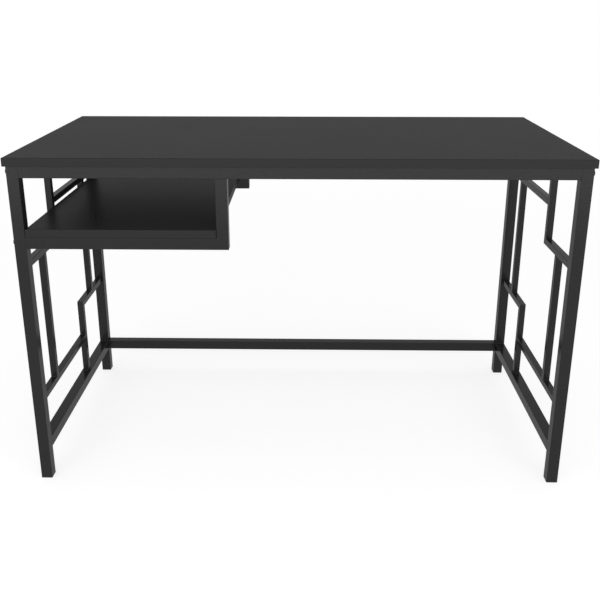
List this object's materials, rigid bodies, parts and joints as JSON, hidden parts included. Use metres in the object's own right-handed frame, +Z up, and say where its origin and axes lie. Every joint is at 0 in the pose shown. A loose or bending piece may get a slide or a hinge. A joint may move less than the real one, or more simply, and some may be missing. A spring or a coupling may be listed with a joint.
{
  "type": "computer desk",
  "caption": "Rectangular computer desk: dark board top on a square-tube steel frame with key-pattern side panels and an open keyboard shelf hung under the left end.",
  "frame": {"origin": "on the floor, under the middle of the desktop", "axes": "+X to the right of a person sitting at the desk, +Y away from that person, +Z up"},
  "size_m": [1.2, 0.6, 0.75],
  "materials": {
    "board": "charcoal melamine, fine matt grain",
    "edge_strip": "charcoal edge strip, satin",
    "frame_paint": "black powder coat, fine satin texture",
    "foot_cap": "black moulded plastic",
    "bolt": "black zinc plated",
    "screw": "zinc plated",
    "end_plate": "bare steel"
  },
  "bodies": {
    "root": {"desktop": "board", "desktop_front_edge_strip": "edge_strip", "desktop_left_edge_strip": "edge_strip", "desktop_rear_edge_strip": "edge_strip", "desktop_right_edge_strip": "edge_strip", "desktop_screws": "screw", "frame_bolts": "bolt", "front_shelf_hanger": "frame_paint", "front_shelf_rail": "frame_paint", "front_top_rail": "frame_paint", "hanger_bolts": "bolt", "hanger_end_plates": "end_plate", "left_front_foot_cap": "foot_cap", "left_front_leg": "frame_paint", "left_lattice_front_arm": "frame_paint", "left_lattice_front_bar": "frame_paint", "left_lattice_front_post": "frame_paint", "left_lattice_lower_post": "frame_paint", "left_lattice_rear_arm": "frame_paint", "left_lattice_rear_bar": "frame_paint", "left_lattice_rear_post": "frame_paint", "left_lattice_upper_post": "frame_paint", "left_lower_side_rail": "frame_paint", "left_rear_foot_cap": "foot_cap", "left_rear_leg": "frame_paint", "left_top_side_rail": "frame_paint", "rail_end_plates": "end_plate", "rear_shelf_hanger": "frame_paint", "rear_shelf_rail": "frame_paint", "rear_stretcher": "frame_paint", "rear_top_rail": "frame_paint", "right_front_foot_cap": "foot_cap", "right_front_leg": "frame_paint", "right_lattice_front_arm": "frame_paint", "right_lattice_front_bar": "frame_paint", "right_lattice_front_post": "frame_paint", "right_lattice_lower_post": "frame_paint", "right_lattice_rear_arm": "frame_paint", "right_lattice_rear_bar": "frame_paint", "right_lattice_rear_post": "frame_paint", "right_lattice_upper_post": "frame_paint", "right_lower_side_rail": "frame_paint", "right_rear_foot_cap": "foot_cap", "right_rear_leg": "frame_paint", "right_top_side_rail": "frame_paint", "shelf_board": "board", "shelf_front_edge_strip": "edge_strip", "shelf_left_edge_strip": "edge_strip", "shelf_rear_edge_strip": "edge_strip", "shelf_right_edge_strip": "edge_strip", "shelf_screws": "screw"}
  },
  "joints": []
}
